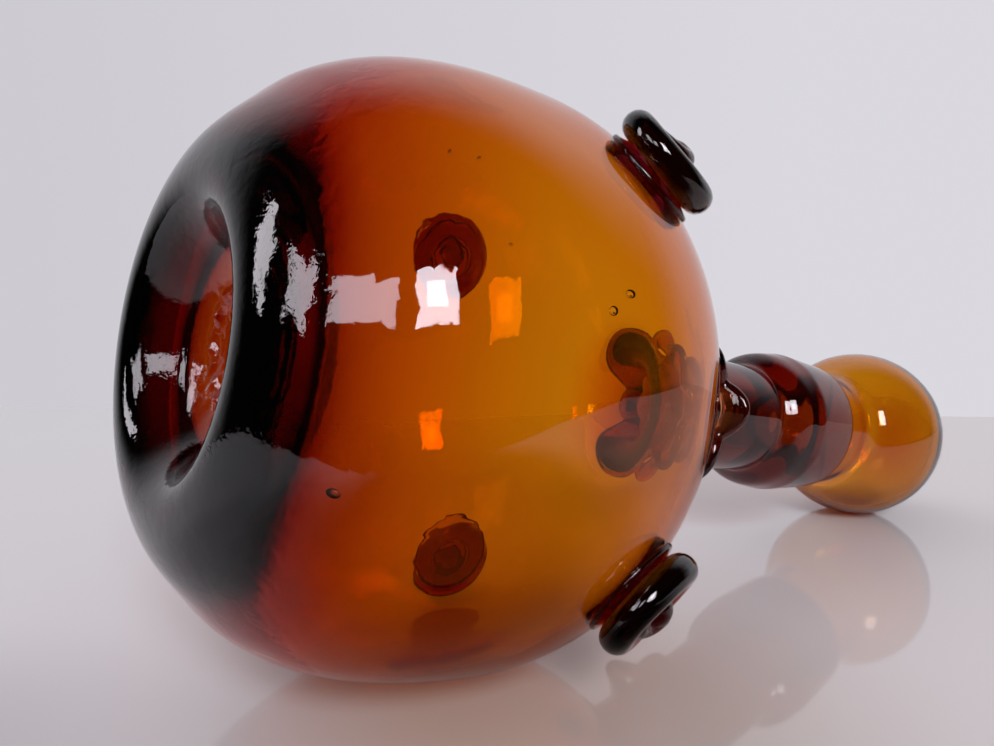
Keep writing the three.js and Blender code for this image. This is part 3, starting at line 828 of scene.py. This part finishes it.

# Painted light and shade on the lying floor, for the glow and the shade that the glass throws: place,
# distances at which each is full and gone, and colour. The painted soft shade lies nearer the camera.
PAINTED_GLOW_AND_SHADE = (
    (UNDER_CAMERA + ACROSS * 0.018 + AWAY * 0.174, 0.02, 0.085, (0.55, 0.44, 0.36, 1)),
    (UNDER_CAMERA - ACROSS * 0.13 + AWAY * 0.13, 0.03, 0.1, (0.52, 0.51, 0.52, 1)),
)
# A painted soft shade on the lying floor near the camera.
SHADE_CENTRE = UNDER_CAMERA + ACROSS * 0.03 + AWAY * 0.04
SHADE_COLOUR = (0.02, 0.02, 0.02, 1)
SHADE_FADE = (0.1, 0.175)
SHADE_MISSED = 0.1
SHOWN_DISTANCE = 0.64
SHOWN_SLANT = 0.455


def pale_surface(name, colour):
    """A material with its nodes, the point on it, and its colour, which is slightly clouded."""
    material, tree = new_material(name)
    point = node(tree, "ShaderNodeTexCoord").outputs["Object"]
    low = [c * 0.985 for c in colour]
    tint = colour_mix(tree, cloud(tree, point, 6.0), (*low, 1), (*colour, 1))
    return material, tree, point, tint


def clear_where(tree, hidden, body):
    """Ends a floor's material, which is clear where hidden is 1."""
    clear = node(tree, "ShaderNodeBsdfTransparent").outputs[0]
    mixed = node(tree, "ShaderNodeMixShader", Fac=hidden, _1=body.outputs[0], _2=clear).outputs[0]
    tree.links.new(mixed, node(tree, "ShaderNodeOutputMaterial").inputs["Surface"])


def lying_material():
    """Pale and glossy, with painted warm light to one side, painted glow and shade of the glass, and a
    painted soft shade near the camera that the camera misses.
    """
    material, tree, point, tint = pale_surface("pale_table", LYING_COLOUR)
    ray = node(tree, "ShaderNodeLightPath").outputs
    # Painted glow and shade of the glass, mixed into the floor's colour.
    for place, inner, outer, colour in PAINTED_GLOW_AND_SHADE:
        away = vector_node(tree, "DISTANCE", point, place)
        near = scaled(tree, away, inner, outer, 1.0, 0.0, smooth=True)
        tint = colour_mix(tree, near, tint, colour)
    # Painted warm light, growing towards one side.
    warm = scaled(tree, vector_node(tree, "DOT_PRODUCT", point, ACROSS), -0.05, 0.3)
    tint = colour_mix(tree, warm, tint, LYING_PAINTED_WARM_LIGHT)
    # Painted soft shade near the camera. Camera rays take it to lie SHADE_MISSED further off, so they see
    # little of it.
    away = vector_node(tree, "DISTANCE", point, SHADE_CENTRE)
    away = math_node(tree, "MULTIPLY_ADD", ray["Is Camera Ray"], SHADE_MISSED, away)
    tint = colour_mix(tree, scaled(tree, away, *SHADE_FADE, smooth=True), SHADE_COLOUR, tint)
    direct = math_node(tree, "MAXIMUM", ray["Is Camera Ray"], ray["Is Transmission Ray"])
    body = node(tree, "ShaderNodeBsdfPrincipled", Base_Color=tint, Roughness=0.05, IOR=1.7,
                Specular_IOR_Level=math_node(tree, "MULTIPLY", direct, 0.5))
    # It throws no shade on the other floor, and shows only as near and as slanting as in the main view.
    far = math_node(tree, "GREATER_THAN", ray["Ray Length"], SHOWN_DISTANCE)
    facing = node(tree, "ShaderNodeLayerWeight", Blend=0.5).outputs["Facing"]
    steep = math_node(tree, "LESS_THAN", facing, SHOWN_SLANT)
    off = math_node(tree, "MULTIPLY", math_node(tree, "MAXIMUM", far, steep), ray["Is Camera Ray"])
    hidden = node(tree, "ShaderNodeNewGeometry").outputs["Backfacing"]
    for other in (off, ray["Is Shadow Ray"], ray["Is Diffuse Ray"]):
        hidden = math_node(tree, "MAXIMUM", hidden, other)
    clear_where(tree, hidden, body)
    return material


def standing_material():
    """Pale and dull, and seen by the camera only, from above."""
    material, tree, point, tint = pale_surface("pale_floor", STANDING_COLOUR)
    body = node(tree, "ShaderNodeBsdfPrincipled", Base_Color=tint, Roughness=0.3, IOR=1.3)
    direct = node(tree, "ShaderNodeLightPath").outputs["Is Camera Ray"]
    back = node(tree, "ShaderNodeNewGeometry").outputs["Backfacing"]
    seen = math_node(tree, "SUBTRACT", direct, back, clamp=True)
    clear_where(tree, math_node(tree, "SUBTRACT", 1.0, seen), body)
    return material


def make_floor(name, corners, material):
    bm = bmesh.new()
    bm.faces.new([bm.verts.new(c) for c in corners])
    mesh = bpy.data.meshes.new(name)
    bm.to_mesh(mesh)
    bm.free()
    mesh.materials.append(material)
    floor = bpy.data.objects.new(name, mesh)
    bpy.context.scene.collection.objects.link(floor)


def far_edge(across):
    """Where the lying floor ends, away from the camera, for a place across it."""
    left, left_end = HORIZON_LEFT
    right, right_end = HORIZON_RIGHT
    return left_end + (across - left) * (right_end - left_end) / (right - left)


def make_stage():
    corners = ((-LYING_HALF, NEAR_LEFT), (LYING_HALF, NEAR_RIGHT),
               (LYING_HALF, far_edge(LYING_HALF)), (-LYING_HALF, far_edge(-LYING_HALF)))
    lying = [UNDER_CAMERA + ACROSS * x + AWAY * y for x, y in corners]
    make_floor("table_floor", lying, lying_material())
    corners = ((-1, -1), (1, -1), (1, 1), (-1, 1))
    standing = [Vector((x * STANDING_HALF, y * STANDING_HALF, 0)) for x, y in corners]
    make_floor("upright_floor", standing, standing_material())


# Light. Directions are as seen from the body's centre, and wide and tall are in degrees from there.
BODY_CENTRE = Vector((0, 0, 0.064))
LAMP_COLOUR = (1.0, 0.95, 1.03)
SIDE_LAMPS = (
    {"name": "second_window", "direction": (-0.547, 0.207, -0.811), "wide": 16.0, "tall": 16.0, "seed": 2.1},
    {"name": "third_window", "direction": (-0.161, 0.297, -0.941), "wide": 21.0, "tall": 24.0, "seed": 3.7},
    {"name": "side_window", "direction": (0.341, 0.43, -0.836), "wide": 15.0, "tall": 26.0, "seed": 5.2},
)


def torn(lamp, seed, deep):
    """Gives a rectangular lamp a ragged outline, with tears of a depth."""
    lamp.use_nodes = True
    tree = lamp.node_tree
    tree.nodes.clear()
    place = node(tree, "ShaderNodeNewGeometry").outputs["Parametric"]
    rag = cloud(tree, vector_node(tree, "ADD", place, (seed, seed, seed)), 3.2)
    rag = scaled(tree, rag, 0.3, 0.7, -deep, 0.14)
    split = node(tree, "ShaderNodeSeparateXYZ", Vector=place).outputs
    sides = [math_node(tree, "MINIMUM", split[way], math_node(tree, "SUBTRACT", 1.0, split[way]))
             for way in ("X", "Y")]
    inward = math_node(tree, "ADD", math_node(tree, "MINIMUM", *sides), rag)
    shown = scaled(tree, inward, 0.0, 0.06, smooth=True)
    glow = node(tree, "ShaderNodeEmission", Strength=shown).outputs[0]
    tree.links.new(glow, node(tree, "ShaderNodeOutputLight").inputs["Surface"])


def window(name, direction, distance, wide, tall, strength, on_surfaces=True, seed=0.0, deep=0.3):
    """A soft rectangular lamp of a brightness, with a ragged outline if it has a seed."""
    way = Vector(direction).normalized()
    lamp = bpy.data.lights.new(name, "AREA")
    lamp.shape = "RECTANGLE"
    lamp.size = 2 * distance * math.tan(math.radians(wide / 2))
    lamp.size_y = 2 * distance * math.tan(math.radians(tall / 2))
    lamp.energy = strength * 4 * lamp.size * lamp.size_y
    lamp.color = LAMP_COLOUR
    if seed:
        torn(lamp, seed, deep)
    holder = bpy.data.objects.new(name, lamp)
    side = ABOVE.cross(way).normalized()
    top = way.cross(side)
    turn = Matrix((side, top, way)).transposed().to_4x4()
    holder.matrix_world = Matrix.Translation(BODY_CENTRE + way * distance) @ turn
    holder.visible_camera = False
    holder.visible_diffuse = on_surfaces
    bpy.context.scene.collection.objects.link(holder)
    return holder


def make_light():
    window("main_window", (-0.873, 0.236, -0.428), distance=4.0, wide=20.5, tall=19.5, strength=13.0,
           seed=1.3, deep=0.11)
    window("bright_pane", (-0.868, 0.25, -0.43), distance=3.9, wide=9.0, tall=8.0, strength=8.0)
    for sizes in SIDE_LAMPS:
        lamp = window(distance=4.0, strength=5.6, on_surfaces=False, **sizes)
        lamp.visible_transmission = False
    over = AWAY * 0.6 - ACROSS * 0.45 + ABOVE * 0.85
    soft = window("ceiling_light", over, distance=1.2, wide=40, tall=40, strength=0.9)
    soft.visible_glossy = False
    soft.visible_transmission = False


def make_glow():
    """The warm light that the glass gathers and throws round it."""
    lamp = bpy.data.lights.new("gathered_light", "POINT")
    lamp.shadow_soft_size = 0.03
    lamp.energy = 0.09
    holder = bpy.data.objects.new("gathered_light", lamp)
    holder.location = (0, 0, 0.07)
    holder.visible_camera = False
    holder.visible_glossy = False
    holder.visible_transmission = False
    bpy.context.scene.collection.objects.link(holder)


# Surroundings: what lights the surfaces, from low to high, and what is seen directly or mirrored.
LIT_BEHIND = (0.3, 0.3, 0.31, 1)
LIT_BEYOND = (0.56, 0.55, 0.57, 1)
SEEN_ROOM = (0.665, 0.65, 0.695, 1)
MIRRORED_DARK = (0.012, 0.011, 0.011, 1)


def make_world():
    """A pale surrounding, with a dark end behind the main camera that only reflections show."""
    world = bpy.data.worlds.new("pale_room")
    bpy.context.scene.world = world
    world.use_nodes = True
    tree = world.node_tree
    tree.nodes.clear()
    way = node(tree, "ShaderNodeTexCoord").outputs["Generated"]
    ray = node(tree, "ShaderNodeLightPath").outputs
    back = vector_node(tree, "DOT_PRODUCT", way, -CAMERA_LOOK)
    dark = scaled(tree, back, -0.55, -0.05, smooth=True)
    mirrored = math_node(tree, "SUBTRACT", ray["Is Glossy Ray"], ray["Is Transmission Ray"], clamp=True)
    dark = math_node(tree, "MULTIPLY", dark, mirrored)
    seen = math_node(tree, "ADD", ray["Is Camera Ray"], ray["Is Glossy Ray"], clamp=True)
    seen = math_node(tree, "ADD", seen, ray["Is Transmission Ray"], clamp=True)
    beyond = scaled(tree, vector_node(tree, "DOT_PRODUCT", way, AWAY), -0.8, 0.8)
    light = colour_mix(tree, beyond, LIT_BEHIND, LIT_BEYOND)
    room = colour_mix(tree, seen, light, SEEN_ROOM)
    room = colour_mix(tree, dark, room, MIRRORED_DARK)
    across = vector_node(tree, "DOT_PRODUCT", way, CAMERA_RIGHT)
    level = scaled(tree, across, -0.45, 0.3, 0.92, 1.06)
    glow = node(tree, "ShaderNodeBackground", Color=room, Strength=level).outputs[0]
    tree.links.new(glow, node(tree, "ShaderNodeOutputWorld").inputs["Surface"])


def make_camera():
    lens = bpy.data.cameras.new("camera")
    lens.lens = CAMERA_LENS
    lens.sensor_width = 36.0
    lens.clip_start = 0.01
    lens.clip_end = 20.0
    camera = bpy.data.objects.new("camera", lens)
    turn = Matrix((CAMERA_RIGHT, CAMERA_TOP, -CAMERA_LOOK)).transposed().to_4x4()
    camera.matrix_world = Matrix.Translation(CAMERA_PLACE) @ turn
    bpy.context.scene.collection.objects.link(camera)
    bpy.context.scene.camera = camera


make_bottle()
make_stopper()
make_collar()
for number, prunt in enumerate(PRUNTS, 1):
    make_prunt(number, prunt)
make_stage()
make_light()
make_glow()
make_world()
make_camera()

scene = bpy.context.scene
scene.view_settings.view_transform = "Standard"
scene.cycles.max_bounces = 24
scene.cycles.transmission_bounces = 24
scene.cycles.glossy_bounces = 12
scene.cycles.transparent_max_bounces = 24
scene.cycles.caustics_refractive = False
scene.cycles.caustics_reflective = False
